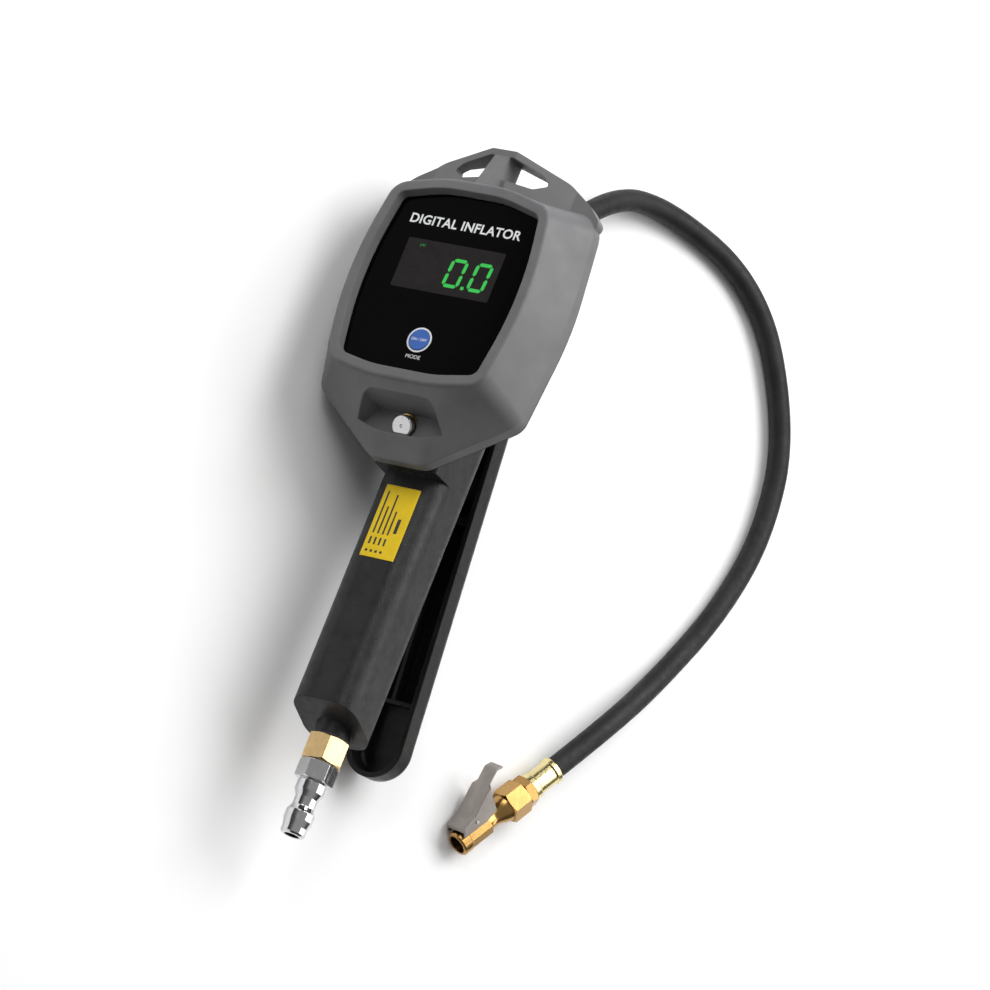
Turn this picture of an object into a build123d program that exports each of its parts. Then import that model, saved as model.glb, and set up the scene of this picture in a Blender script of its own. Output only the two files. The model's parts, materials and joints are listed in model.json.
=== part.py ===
from build123d import *
from math import atan2, cos, degrees, hypot, pi, radians, sin, tan
import os

# Hand-held digital tyre inflator: gauge head, grip with squeeze lever, hose and clip-on chuck.
# The tool is drawn upright in its own axes: X to the right of the display, Y up towards the hanger,
# Z out of the display, with the glass face at Z = 0. It is then laid on its left side on the XY plane.
# All sizes are in millimetres.

# ---------------------------------------------------------------- driving dimensions
# Gauge head
rim_half_width = 51.4
rim_top = 42.0
rim_bottom = -77.5
rim_widest = -8.0
rim_depth = 17.0
skirt = 5.0
side_flare = 8.0
top_flare = 4.0
chin_flare = 26.3
bezel_height = 4.0
bezel_round = 1.2
bezel_steps = 3
lip_width = 4.6
lip_slope = 1.0
boot_wall = 3.2
case_wall = 2.0
case_bottom = -49.0
fit_gap = 0.1
running_gap = 0.05
button_gap = 0.2

# Hanger above the head
hanger_top = 58.0
hanger_flat = 5.7
hanger_shoulder = (30.0, 51.4)
hanger_elbow = (41.4, 44.0)
hanger_foot = (47.5, 38.0)
hanger_front = 6.0
hanger_front_shoulder = (33.0, 15.8)
hanger_front_edge = 17.0
hanger_rear = 16.5
hole_inner = 3.0
hole_peak = 55.6
hole_shoulder = (18.5, 51.2)
hole_outer = (22.5, 48.0)
hole_floor = 44.6
rib_front_half_width = 3.0
rib_rear_half_width = 4.4

# Display, board and button
glass_thickness = 1.8
glass_lap = 0.8
ledge_width = 3.6
ledge_thickness = 2.0
lcd_width = 52.0
lcd_height = 28.0
lcd_thickness = 3.0
board_thickness = 1.6
board_depth = 6.5
button_radius = 4.5
button_y = -31.8
button_proud = 0.6
button_travel = 0.6
button_ring_width = 0.7

# Batteries and rear cover
cell_radius = 5.25
cell_length = 44.5
cell_depth = 16.2
cell_y = -4.0
cell_x = (-22.6, -33.8)
cover_thickness = 2.4
door_width = 25.0
door_height = 56.0
door_x = -31.5
cover_screw_radius = 1.5
cover_screw_head = 2.9
cover_screw_x = 36.0
cover_screw_y = (28.5, -37.5)

# Bleed valve in the chin
bleed_y = -64.7
bleed_depth = 11.3
bleed_tilt = 25.0
bleed_cap_radius = 4.65
bleed_cap_length = 2.6
bleed_travel = 1.2
bleed_body_radius = 5.0
bleed_body_length = 12.0
bleed_stem_radius = 1.6
recess_floor = 14.2
recess_taper = 12.0

# Grip body
grip_half_width = 15.0
grip_front = 30.5
grip_rear = 59.0
grip_corner = 9.0
grip_bottom_front = -176.0
grip_bottom_rear = -185.0
neck_top = 40.0
neck_corner = 3.0
label_width = 15.8
label_length = 31.4
label_y = -98.7
label_thickness = 0.3

# Air inlet
inlet_depth = 49.0
inlet_thread_radius = 6.6
inlet_boss_radius = 7.6
inlet_filter_thickness = 1.5
inlet_thread_length = 13.0
adapter_across_flats = 16.0
adapter_length = 10.6
plug_across_flats = 14.0
plug_hex_length = 8.0
plug_length = 31.0
plug_collar_radius = 6.0
plug_groove_radius = 4.65
plug_nose_radius = 5.95
plug_tip_radius = 5.15
plug_bore = 3.2

# Main valve across the grip
valve_y = -72.0
chamber_radius = 5.5
chamber_front = 36.0
seat_front = 46.0
seat_length = 3.0
seat_bore = 3.2
guide_radius = 6.6
guide_front = 53.0
guide_flange = 2.2
guide_across_flats = 14.0
stem_radius = 2.0
stem_tip = 66.3
poppet_radius = 4.4
poppet_length = 2.0
passage_radius = 2.2
feed_depth = 42.0
riser_depth = 51.0
sensor_y = -16.0
sensor_x = 0.0

# Squeeze lever
pivot_y = -33.0
pivot_depth = 64.5
lever_angle = 8.96
lever_half_width = 13.0
lever_wall = 2.2
lever_web = 2.4
lever_rear = 7.7
lever_channel = 12.2
lever_top = 9.0
lever_reach = 143.0
lever_corner = 5.0
lever_pin_radius = 1.75
lug_half_width = 6.0
lug_radius = 4.5
stem_gap = 0.3

# Hose outlet on the back of the neck
outlet_y = 33.0
outlet_depth = 54.0
outlet_tilt = 37.0
outlet_thread_radius = 5.0
outlet_thread_length = 8.0
outlet_across_flats = 14.0
outlet_hex_length = 6.0
ferrule_length = 17.0
ferrule_radius = 6.2
barb_radius = 2.9

# Clip-on chuck
chuck_ferrule_length = 14.7
chuck_ferrule_radius = 5.4
nut_across_flats = 12.6
nut_length = 4.0
chuck_across_flats = 13.6
chuck_hex_length = 9.5
chuck_neck_length = 11.0
chuck_neck_radius = 3.9
chuck_nose_length = 16.0
chuck_nose_across_flats = 9.6
chuck_mouth_radius = 5.4
chuck_bore = 4.0
chuck_bore_depth = 10.0
chuck_seal_radius = 4.3
chuck_seal_length = 3.0
clip_wall = 0.8
clip_half_width = 5.9
clip_pin_x = 6.6
clip_pin_back = 9.7
clip_pin_radius = 0.8
clip_angle = 30.0
clip_tab_length = 21.5
clip_tab_half_width = 3.8
clip_cheek_length = 13.0

# Hose and chuck where they lie, in the resting frame.
hose_radius = 4.75
hose_bore = 2.75
hose_first_run = 36.0
hose_last_run = 34.0
hose_floor_points = [(78.0, 181.2), (139.4, 173.3), (177.8, 123.4)]
hose_floor_points += [(185.7, 79.1), (178.7, 38.7), (162.8, -0.1)]
chuck_heading = -120.8
chuck_tilt = 3.2
chuck_roll = -14.0
chuck_mouth_place = (98.6, -107.0)

os.makedirs("parts", exist_ok=True)
pieces = []
cord_pieces = []


# ---------------------------------------------------------------- helpers
def keep(builder, label, on_cord=False):
    """Name a finished piece and list it, to be laid down and written at the end."""
    builder.part.label = label
    (cord_pieces if on_cord else pieces).append(builder.part)


def outline(shape, inset=0.0):
    """Outline that is the same on both sides of Y, from (right-hand corners, their radii)."""
    half, radii = shape
    corners = list(half) + [(-x, y) for x, y in reversed(half)]
    with BuildSketch() as sketch:
        with BuildLine():
            FilletPolyline(*corners, radius=list(radii) + list(reversed(radii)), close=True)
        make_face()
        if inset:
            offset(amount=-inset)
    return sketch.sketch


def flared_block(front, front_inset, front_z, rear, rear_inset, rear_z):
    """Solid between two outlines, each set in by its own amount."""
    with BuildPart() as block:
        with BuildSketch(Plane.XY.offset(front_z)):
            add(outline(front, front_inset))
        with BuildSketch(Plane.XY.offset(rear_z)):
            add(outline(rear, rear_inset))
        loft()
    return block.part


def rod(plane, start, end, radius, mode=Mode.ADD):
    """Round bar, or a bore with Mode.SUBTRACT, between two heights along a plane's normal."""
    with BuildSketch(plane.offset(start)) as section:
        Circle(radius)
    extrude(section.sketch, amount=end - start, mode=mode)


def ring(plane, start, end, outer, inner):
    """Plain ring between two heights along a plane's normal."""
    with BuildSketch(plane.offset(start)) as section:
        Circle(outer)
        Circle(inner, mode=Mode.SUBTRACT)
    extrude(section.sketch, amount=end - start)


def turned(plane, profile, mode=Mode.ADD):
    """Solid turned about a plane's normal from (radius, height) points."""
    section_plane = Plane(plane.origin, x_dir=plane.x_dir, z_dir=-plane.y_dir)
    with BuildSketch(section_plane) as section:
        with BuildLine():
            Polyline(*profile, close=True)
        make_face()
    revolve(section.sketch, axis=Axis(plane.origin, plane.z_dir), mode=mode)


def hexagon(plane, start, end, across_flats, turn=0.0):
    """Hexagon between two heights, with its corners turned down at both ends."""
    corner = across_flats / 2 / cos(pi / 6)
    bevel = corner - across_flats / 2
    with BuildPart() as nut:
        with BuildSketch(plane.offset(start)) as section:
            RegularPolygon(across_flats / 2, 6, major_radius=False, rotation=turn)
        extrude(section.sketch, amount=end - start)
        turned(
            plane,
            [
                (0, start),
                (corner - bevel, start),
                (corner + bevel, start + bevel),
                (corner + bevel, end - bevel),
                (corner - bevel, end),
                (0, end),
            ],
            mode=Mode.INTERSECT,
        )
    return nut.part


def coil(plane, start, end, radius, wire, turns):
    """Round-wire spring between two heights along a plane's normal."""
    height = end - start - wire
    with BuildPart() as spring:
        with BuildLine() as path:
            Helix(
                height / turns,
                height,
                radius,
                center=plane.offset(start + wire / 2).origin,
                direction=plane.z_dir,
            )
        with BuildSketch(Plane(path.line @ 0, z_dir=path.line % 0)):
            Circle(wire / 2)
        sweep(path=path.line, is_frenet=True)
    return spring.part


# ---------------------------------------------------------------- shared outlines and planes
bezel_half_width = rim_half_width - side_flare
bezel_top = rim_top - top_flare
bezel_bottom = rim_bottom + chin_flare
bezel_shape = (
    [
        (15.0, bezel_top - 0.3),
        (bezel_half_width - 6.6, bezel_top - 6.0),
        (bezel_half_width, rim_widest + 1.0),
        (bezel_half_width - 6.8, bezel_bottom + 3.8),
        (15.0, bezel_bottom),
    ],
    [60.0, 9.0, 150.0, 9.0, 60.0],
)
rim_shape = (
    [
        (18.0, rim_top),
        (rim_half_width - 5.0, rim_top - 2.0),
        (rim_half_width, rim_widest),
        (rim_half_width - 4.6, rim_bottom + 24.5),
        (12.5, rim_bottom),
    ],
    [30.0, 10.0, 150.0, 9.0, 8.0],
)
case_rear_shape = (
    rim_shape[0][:3]
    + [(rim_half_width - 5.0, case_bottom + 0.5), (15.0, case_bottom - boot_wall)],
    [30.0, 10.0, 150.0, 9.0, 60.0],
)
boot_depth = rim_depth + skirt
cover_back = boot_depth + cover_thickness

bleed_plane = Plane(
    (0, bleed_y, -bleed_depth),
    x_dir=(1, 0, 0),
    z_dir=(0, -sin(radians(bleed_tilt)), cos(radians(bleed_tilt))),
)
grip_slope = (grip_bottom_front - grip_bottom_rear) / (grip_rear - grip_front)
inlet_plane = Plane((0, grip_bottom_rear, -inlet_depth), x_dir=(1, 0, 0), z_dir=(0, -1, 0))
valve_plane = Plane((0, valve_y, 0), x_dir=(1, 0, 0), z_dir=(0, 0, -1))
sensor_plane = Plane((sensor_x, sensor_y, 0), x_dir=(1, 0, 0), z_dir=(0, 0, -1))
lever_plane = Plane(
    (0, pivot_y, -pivot_depth),
    x_dir=(1, 0, 0),
    z_dir=(0, sin(radians(lever_angle)), -cos(radians(lever_angle))),
)
pin_plane = Plane((0, pivot_y, -pivot_depth), x_dir=(0, 1, 0), z_dir=(1, 0, 0))
outlet_plane = Plane(
    (0, outlet_y, -outlet_depth),
    x_dir=(1, 0, 0),
    z_dir=(0, cos(radians(outlet_tilt)), -sin(radians(outlet_tilt))),
)

# ---------------------------------------------------------------- gauge head
# The case fills the boot: one flared block, grown a little to cut the boot and shrunk to hollow itself.
case_block = flared_block(bezel_shape, boot_wall, 0, case_rear_shape, boot_wall, -boot_depth)
case_space = flared_block(
    bezel_shape, boot_wall - fit_gap, 0, case_rear_shape, boot_wall - fit_gap, -boot_depth
)
case_inside = flared_block(
    bezel_shape,
    boot_wall + case_wall,
    -glass_thickness - ledge_thickness,
    case_rear_shape,
    boot_wall + case_wall,
    -boot_depth,
)
glass_inset = lip_width + lip_slope - glass_lap
cover_screw_places = [(side * cover_screw_x, y) for side in (1, -1) for y in cover_screw_y]
post_radius = 3.4
post_length = 10.0

# Hanger: a gabled loop whose front slopes back to both sides, with a rib between its two holes.
with BuildPart() as hanger:
    roof = [(hanger_flat, hanger_top), hanger_shoulder, hanger_elbow, hanger_foot]
    roof += [(rim_half_width - 8.0, rim_top - 12.0)]
    with BuildSketch(Plane.XY.offset(-boot_depth)):
        with BuildLine():
            FilletPolyline(
                *roof,
                *[(-x, y) for x, y in reversed(roof)],
                radius=[6, 14, 14, 3, 1, 1, 3, 14, 14, 6],
                close=True,
            )
        make_face()
    extrude(amount=boot_depth)
    with BuildSketch(Plane.XZ.offset(-hanger_top)):
        with BuildLine():
            Polyline(
                (-hanger_flat, -hanger_front),
                (hanger_flat, -hanger_front),
                (hanger_front_shoulder[0], -hanger_front_shoulder[1]),
                (rim_half_width, -hanger_front_edge),
                (rim_half_width, -2 * boot_depth),
                (-rim_half_width, -2 * boot_depth),
                (-rim_half_width, -hanger_front_edge),
                (-hanger_front_shoulder[0], -hanger_front_shoulder[1]),
                close=True,
            )
        make_face()
    extrude(amount=hanger_top, mode=Mode.INTERSECT)
    for side in (1, -1):
        with BuildSketch():
            with BuildLine():
                FilletPolyline(
                    (side * hole_inner, hole_peak),
                    (side * hole_shoulder[0], hole_shoulder[1]),
                    (side * hole_outer[0], hole_outer[1]),
                    (side * (hole_outer[0] - 6.0), hole_floor),
                    (side * hole_inner, hole_floor),
                    radius=[1.5, 3.0, 1.2, 3.0, 1.5],
                    close=True,
                )
            make_face()
        extrude(amount=-boot_depth, mode=Mode.SUBTRACT)
    with BuildSketch(Plane.XY.offset(-hanger_rear)):
        with Locations((0, (rim_top + hanger_top) / 2 + 1.0)):
            RectangleRounded(2 * hole_outer[0] + 4.0, hanger_top - rim_top + 1.0, 2.0)
    extrude(amount=hanger_rear - boot_depth, mode=Mode.SUBTRACT)

with BuildPart() as hanger_rib:
    with BuildSketch(Plane.YZ):
        with BuildLine():
            Polyline(
                (bezel_top - 3.0, 1.5),
                (bezel_top, 1.5),
                (hanger_top - 1.5, -hanger_front - 0.5),
                (hanger_top - 1.5, -hanger_rear),
                (bezel_top - 3.0, -hanger_rear),
                close=True,
            )
        make_face()
    extrude(amount=rib_rear_half_width, both=True)
    with BuildSketch(Plane.XZ.offset(-hanger_top)):
        with BuildLine():
            Polyline(
                (rib_front_half_width, 2.0),
                (rib_rear_half_width, -boot_depth),
                (-rib_rear_half_width, -boot_depth),
                (-rib_front_half_width, 2.0),
                close=True,
            )
        make_face()
    extrude(amount=hanger_top, mode=Mode.INTERSECT)

with BuildPart() as boot_cover:
    shoulder = bezel_height - bezel_round
    with BuildSketch(Plane.XY.offset(shoulder)):
        add(outline(bezel_shape))
    with BuildSketch(Plane.XY.offset(-rim_depth)):
        add(outline(rim_shape))
    loft()
    for step in range(bezel_steps):
        for corner in (step, step + 1):
            angle = corner * pi / 2 / bezel_steps
            with BuildSketch(Plane.XY.offset(shoulder + bezel_round * sin(angle))):
                add(outline(bezel_shape, bezel_round * (1 - cos(angle))))
        loft()
    with BuildSketch(Plane.XY.offset(-rim_depth)):
        add(outline(rim_shape))
    extrude(amount=-skirt)
    add(hanger.part)
    add(hanger_rib.part)
    add(case_space, mode=Mode.SUBTRACT)
    with BuildSketch(Plane.XY.offset(bezel_height)):
        add(outline(bezel_shape, lip_width))
    with BuildSketch():
        add(outline(bezel_shape, lip_width + lip_slope))
    loft(mode=Mode.SUBTRACT)
    with BuildSketch(Plane.XY.offset(bezel_height)):
        with BuildLine():
            FilletPolyline(
                (16.0, bezel_bottom - 3.0),
                (25.0, bezel_bottom - 16.5),
                (9.0, rim_bottom + 6.0),
                (-9.0, rim_bottom + 6.0),
                (-25.0, bezel_bottom - 16.5),
                (-16.0, bezel_bottom - 3.0),
                radius=[5, 2, 5, 5, 2, 5],
                close=True,
            )
        make_face()
    extrude(amount=-recess_floor - bezel_height, taper=recess_taper, mode=Mode.SUBTRACT)
    rod(bleed_plane, -bleed_body_length - 12, 0, bleed_body_radius + running_gap, Mode.SUBTRACT)
keep(boot_cover, "boot_cover")

with BuildPart() as gauge_case:
    add(case_block)
    add(case_inside, mode=Mode.SUBTRACT)
    with BuildSketch():
        add(outline(bezel_shape, glass_inset - fit_gap))
    extrude(amount=-glass_thickness, mode=Mode.SUBTRACT)
    with BuildSketch():
        add(outline(bezel_shape, glass_inset + ledge_width))
    extrude(amount=-glass_thickness - ledge_thickness, mode=Mode.SUBTRACT)
    for x, y in cover_screw_places:
        post_plane = Plane((x, y, 0), x_dir=(1, 0, 0), z_dir=(0, 0, -1))
        rod(post_plane, boot_depth - post_length, boot_depth, post_radius)
    add(case_block, mode=Mode.INTERSECT)
    for x, y in cover_screw_places:
        post_plane = Plane((x, y, 0), x_dir=(1, 0, 0), z_dir=(0, 0, -1))
        rod(post_plane, boot_depth - post_length, boot_depth, cover_screw_radius, Mode.SUBTRACT)
keep(gauge_case, "gauge_case")

with BuildPart() as display_glass:
    with BuildSketch(Plane.XY.offset(-glass_thickness)):
        add(outline(bezel_shape, glass_inset))
    extrude(amount=glass_thickness)
    with Locations((0, button_y, 0)):
        Hole(button_radius + button_gap)
keep(display_glass, "display_glass")

# ---------------------------------------------------------------- display, board and button
with BuildPart() as lcd_panel:
    with BuildSketch(Plane.XY.offset(-glass_thickness - fit_gap)):
        Rectangle(lcd_width, lcd_height)
    extrude(amount=-lcd_thickness)
keep(lcd_panel, "lcd_panel")

board_back = board_depth + board_thickness
switch_height = 1.6
board_inset = boot_wall + case_wall + 0.6
with BuildPart() as circuit_board:
    with BuildSketch(Plane.XY.offset(-board_depth)):
        add(outline(bezel_shape, board_inset))
    extrude(amount=-board_thickness)
keep(circuit_board, "circuit_board")

spacer_radius = 2.2
spacer_x = bezel_half_width - boot_wall - case_wall - ledge_width - 1.6
with BuildPart() as board_spacers:
    for spacer_y in (rim_widest + 12.0, rim_widest - 12.0):
        for side in (1, -1):
            with BuildSketch(Plane.XY.offset(-glass_thickness - ledge_thickness)):
                with Locations((side * spacer_x, spacer_y)):
                    Circle(spacer_radius)
            extrude(amount=-board_depth + glass_thickness + ledge_thickness)
keep(board_spacers, "board_spacers")

button_flange = 1.0
button_plane = Plane((0, button_y, 0))
plunger_radius = 1.2
plunger_length = 1.2
button_back = -board_depth + switch_height + button_travel + 0.15
with BuildPart() as mode_button:
    rod(button_plane, -glass_thickness - button_flange, button_proud, button_radius)
    rod(button_plane, -glass_thickness - 2 * button_flange, -glass_thickness - 0.5, button_radius + 0.9)
    rod(button_plane, button_back, 0, 1.6)
keep(mode_button, "mode_button")

with BuildPart() as switch_plunger:
    rod(button_plane, button_back - plunger_length, button_back, plunger_radius)
keep(switch_plunger, "switch_plunger")

with BuildPart() as tact_switch:
    with BuildSketch(Plane.XY.offset(-board_depth)):
        with Locations((0, button_y)):
            Rectangle(6.0, 6.0)
    extrude(amount=switch_height)
    rod(button_plane, -board_depth + 0.1, 0, plunger_radius + fit_gap, Mode.SUBTRACT)
keep(tact_switch, "tact_switch")

with BuildPart() as button_ring:
    ring(button_plane, 0, 0.25, button_radius + button_gap + button_ring_width, button_radius + button_gap)
keep(button_ring, "button_ring")

sensor_height = 4.0
nozzle_radius = 1.4
nozzle_length = 3.0
tube_radius = 2.4
port_radius = tube_radius + running_gap
port_length = 5.0
with BuildPart() as pressure_sensor:
    with BuildSketch(Plane.XY.offset(-board_back)):
        with Locations((sensor_x, sensor_y)):
            Rectangle(10.0, 9.0)
    extrude(amount=-sensor_height)
    rod(sensor_plane, board_back, board_back + sensor_height + nozzle_length, nozzle_radius)
keep(pressure_sensor, "pressure_sensor")

with BuildPart() as sensor_tube:
    ring(sensor_plane, board_back + sensor_height, cover_back + port_length, tube_radius, nozzle_radius)
keep(sensor_tube, "sensor_tube")

chip_places = ((-16.0, 8.0), (15.0, 12.0), (-16.0, -30.0))
with BuildPart() as board_chips:
    with BuildSketch(Plane.XY.offset(-board_back)):
        with Locations(*chip_places):
            Rectangle(9.0, 7.0)
    extrude(amount=-1.4)
keep(board_chips, "board_chips")

# ---------------------------------------------------------------- batteries and rear cover
nub_length = 0.8
nub_radius = 1.9
contact_thickness = 0.5
with BuildPart() as batteries:
    for index, x in enumerate(cell_x):
        end = 1 if index == 0 else -1
        cell_plane = Plane((x, cell_y, -cell_depth), x_dir=(1, 0, 0), z_dir=(0, end, 0))
        rod(cell_plane, -cell_length / 2, cell_length / 2 - nub_length, cell_radius)
        rod(cell_plane, cell_length / 2 - nub_length, cell_length / 2, nub_radius)
keep(batteries, "batteries")

with BuildPart() as battery_contacts:
    for end in (1, -1):
        contact_y = cell_y + end * (cell_length / 2 + contact_thickness / 2)
        with BuildSketch(Plane.XZ.offset(-contact_y)):
            with Locations((sum(cell_x) / 2, -cell_depth)):
                Rectangle(cell_x[0] - cell_x[1] + 1.6 * cell_radius, 1.5 * cell_radius)
        extrude(amount=contact_thickness / 2, both=True)
keep(battery_contacts, "battery_contacts")

neck_screw_places = [(side * 9.5, y) for side in (1, -1) for y in (22.0, -40.0)]
door_screw_y = cell_y + door_height / 2 - 4.0
with BuildPart() as rear_cover:
    with BuildSketch(Plane.XY.offset(-boot_depth)):
        add(outline(rim_shape, 1.2))
    extrude(amount=-cover_thickness)
    with BuildSketch(Plane.XY.offset(-boot_depth)):
        with Locations((door_x, cell_y)):
            RectangleRounded(door_width, door_height, 3.0)
    extrude(amount=-cover_thickness, mode=Mode.SUBTRACT)
    for x, y in cover_screw_places:
        post_plane = Plane((x, y, 0), x_dir=(1, 0, 0), z_dir=(0, 0, -1))
        rod(post_plane, boot_depth, cover_back, cover_screw_radius, Mode.SUBTRACT)
        rod(post_plane, cover_back - 1.4, cover_back, cover_screw_head + fit_gap, Mode.SUBTRACT)
    for x, y in neck_screw_places:
        post_plane = Plane((x, y, 0), x_dir=(1, 0, 0), z_dir=(0, 0, -1))
        rod(post_plane, boot_depth, cover_back, cover_screw_radius, Mode.SUBTRACT)
    rod(sensor_plane, boot_depth, cover_back, port_radius, Mode.SUBTRACT)
    rod(bleed_plane, -bleed_body_length - 12, 0, bleed_body_radius + running_gap, Mode.SUBTRACT)
keep(rear_cover, "rear_cover")

with BuildPart() as battery_door:
    with BuildSketch(Plane.XY.offset(-boot_depth)):
        with Locations((door_x, cell_y)):
            RectangleRounded(door_width - 2 * fit_gap, door_height - 2 * fit_gap, 3.0 - fit_gap)
    extrude(amount=-cover_thickness)
    door_plane = Plane((door_x, door_screw_y, 0), x_dir=(1, 0, 0), z_dir=(0, 0, -1))
    rod(door_plane, boot_depth, cover_back, cover_screw_radius, Mode.SUBTRACT)
    rod(door_plane, cover_back - 1.2, cover_back, cover_screw_head + fit_gap, Mode.SUBTRACT)
    for groove in range(5):
        with BuildSketch(Plane.XY.offset(-cover_back)):
            with Locations((door_x, cell_y - door_height / 2 + 7.0 + 3.0 * groove)):
                SlotOverall(14.0, 1.2)
        extrude(amount=0.6, mode=Mode.SUBTRACT)
keep(battery_door, "battery_door")


def screws(places, under_head, length, head_height):
    """Cross-head screws that point out of the back of the head, one at each place."""
    with BuildPart() as group:
        for x, y in places:
            plane = Plane((x, y, 0), x_dir=(1, 0, 0), z_dir=(0, 0, -1))
            rod(plane, under_head - length, under_head, cover_screw_radius)
            rod(plane, under_head, under_head + head_height, cover_screw_head)
            with BuildSketch(plane.offset(under_head + head_height)) as cross:
                Rectangle(3.2, 0.7)
                Rectangle(0.7, 3.2)
            extrude(cross.sketch, amount=-0.7, mode=Mode.SUBTRACT)
    return group


keep(screws(cover_screw_places, cover_back - 1.4, 8.0, 1.3), "cover_screws")
keep(screws([(door_x, door_screw_y)], cover_back - 1.2, cover_thickness - 1.2, 1.1), "door_screw")
with BuildPart() as neck_screws:
    for x, y in neck_screw_places:
        neck_screw_plane = Plane((x, y, 0), x_dir=(1, 0, 0), z_dir=(0, 0, -1))
        rod(neck_screw_plane, boot_depth - 1.4, boot_depth, cover_screw_head)
        rod(neck_screw_plane, boot_depth, cover_back + 6.0, cover_screw_radius)
keep(neck_screws, "neck_screws")

# ---------------------------------------------------------------- bleed valve
bleed_seat = -bleed_cap_length - bleed_travel
pocket_radius = bleed_body_radius - 1.2
pocket_bottom = bleed_seat - 7.5
with BuildPart() as bleed_valve_body:
    rod(bleed_plane, bleed_seat - bleed_body_length, bleed_seat, bleed_body_radius)
    rod(bleed_plane, pocket_bottom, bleed_seat, pocket_radius, Mode.SUBTRACT)
    rod(bleed_plane, bleed_seat - bleed_body_length, 0, bleed_stem_radius + running_gap, Mode.SUBTRACT)
keep(bleed_valve_body, "bleed_valve_body")

with BuildPart() as bleed_button:
    turned(
        bleed_plane,
        [
            (0, -bleed_cap_length),
            (bleed_cap_radius, -bleed_cap_length),
            (bleed_cap_radius, -0.5),
            (bleed_cap_radius - 0.5, 0),
            (0.7, 0),
            (0.5, -0.4),
            (0, -0.4),
        ],
    )
    rod(bleed_plane, bleed_seat - bleed_body_length - 1.0, -bleed_cap_length, bleed_stem_radius)
keep(bleed_button, "bleed_button")

bleed_end = bleed_seat - bleed_body_length
seal_thickness = 1.6
with BuildPart() as bleed_seal:
    seal_top = bleed_end - running_gap
    ring(bleed_plane, seal_top - seal_thickness, seal_top, bleed_body_radius - 1.6, bleed_stem_radius)
keep(bleed_seal, "bleed_seal")

with BuildPart() as bleed_spring:
    add(coil(bleed_plane, pocket_bottom, -bleed_cap_length, bleed_stem_radius + 1.0, 0.5, 4.5))
keep(bleed_spring, "bleed_spring")

# ---------------------------------------------------------------- grip body
grip_depth = grip_rear - grip_front
with BuildPart() as grip_body:
    with BuildSketch(Plane.XZ.offset(-rim_bottom - 18.0)):
        with Locations((0, -(grip_front + grip_rear) / 2)):
            RectangleRounded(2 * grip_half_width, grip_depth, grip_corner)
    extrude(amount=-grip_bottom_rear + rim_bottom + 18.0 + 4.0)
    with BuildSketch(Plane.YZ):
        with BuildLine():
            Polyline(
                (grip_bottom_front, -grip_front),
                (grip_bottom_rear, -grip_rear),
                (grip_bottom_rear - 2 * grip_slope, -grip_rear - 2.0),
                (grip_bottom_rear - 12.0, -grip_rear - 2.0),
                (grip_bottom_rear - 12.0, -grip_front + 2.0),
                (grip_bottom_front + 2 * grip_slope, -grip_front + 2.0),
                close=True,
            )
        make_face()
    extrude(amount=grip_half_width + 1.0, both=True, mode=Mode.SUBTRACT)
    rod(inlet_plane, -8.0, 0, inlet_boss_radius)
    with BuildSketch(Plane.XZ.offset(-neck_top)):
        with BuildLine():
            FilletPolyline(
                (grip_half_width, -cover_back),
                (grip_half_width, -grip_rear),
                (-grip_half_width, -grip_rear),
                (-grip_half_width, -cover_back),
                radius=[neck_corner, grip_corner, grip_corner, neck_corner],
                close=True,
            )
        make_face()
    extrude(amount=neck_top - rim_bottom - 1.0)
    with BuildSketch(outlet_plane):
        Rectangle(60.0, 60.0)
    extrude(amount=40.0, mode=Mode.SUBTRACT)
    with BuildSketch(Plane.YZ):
        with BuildLine():
            Polyline(
                (pivot_y + lug_radius, -grip_rear + 4.0),
                (pivot_y + lug_radius, -pivot_depth),
                (pivot_y - lug_radius, -pivot_depth),
                (pivot_y - lug_radius, -grip_rear + 4.0),
                close=True,
            )
        make_face()
        with Locations((pivot_y, -pivot_depth)):
            Circle(lug_radius)
    extrude(amount=lug_half_width, both=True)
    rod(pin_plane, -lug_half_width, lug_half_width, lever_pin_radius + running_gap, Mode.SUBTRACT)
    rod(inlet_plane, -inlet_thread_length, 0, inlet_thread_radius, Mode.SUBTRACT)
    feed_plane = Plane((0, valve_y, -feed_depth), x_dir=(1, 0, 0), z_dir=(0, -1, 0))
    feed_length = valve_y - grip_bottom_rear - inlet_thread_length + 2.0
    rod(feed_plane, 0, feed_length, passage_radius, Mode.SUBTRACT)
    riser_plane = Plane((0, valve_y, -riser_depth), x_dir=(1, 0, 0), z_dir=(0, 1, 0))
    rod(riser_plane, 0, outlet_y - valve_y - 5.0, passage_radius, Mode.SUBTRACT)
    rod(outlet_plane, -outlet_thread_length, 0, outlet_thread_radius, Mode.SUBTRACT)
    rod(valve_plane, chamber_front, guide_front, chamber_radius, Mode.SUBTRACT)
    rod(valve_plane, guide_front, grip_rear + 1.0, guide_radius, Mode.SUBTRACT)
    rod(sensor_plane, cover_back, riser_depth, nozzle_radius, Mode.SUBTRACT)
    rod(sensor_plane, cover_back, cover_back + port_length, port_radius, Mode.SUBTRACT)
    rod(bleed_plane, bleed_end, 0, bleed_body_radius + running_gap, Mode.SUBTRACT)
    bleed_chamber = bleed_end - seal_thickness - bleed_travel - 0.6
    rod(bleed_plane, bleed_chamber, bleed_end, bleed_body_radius - 1.0, Mode.SUBTRACT)
    bleed_reach = (riser_depth - bleed_depth) / cos(radians(bleed_tilt))
    rod(bleed_plane, -bleed_reach, bleed_chamber, 1.2, Mode.SUBTRACT)
    for x, y in neck_screw_places:
        neck_screw_plane = Plane((x, y, 0), x_dir=(1, 0, 0), z_dir=(0, 0, -1))
        rod(neck_screw_plane, cover_back, cover_back + 6.0, cover_screw_radius, Mode.SUBTRACT)
keep(grip_body, "grip_body")

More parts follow.
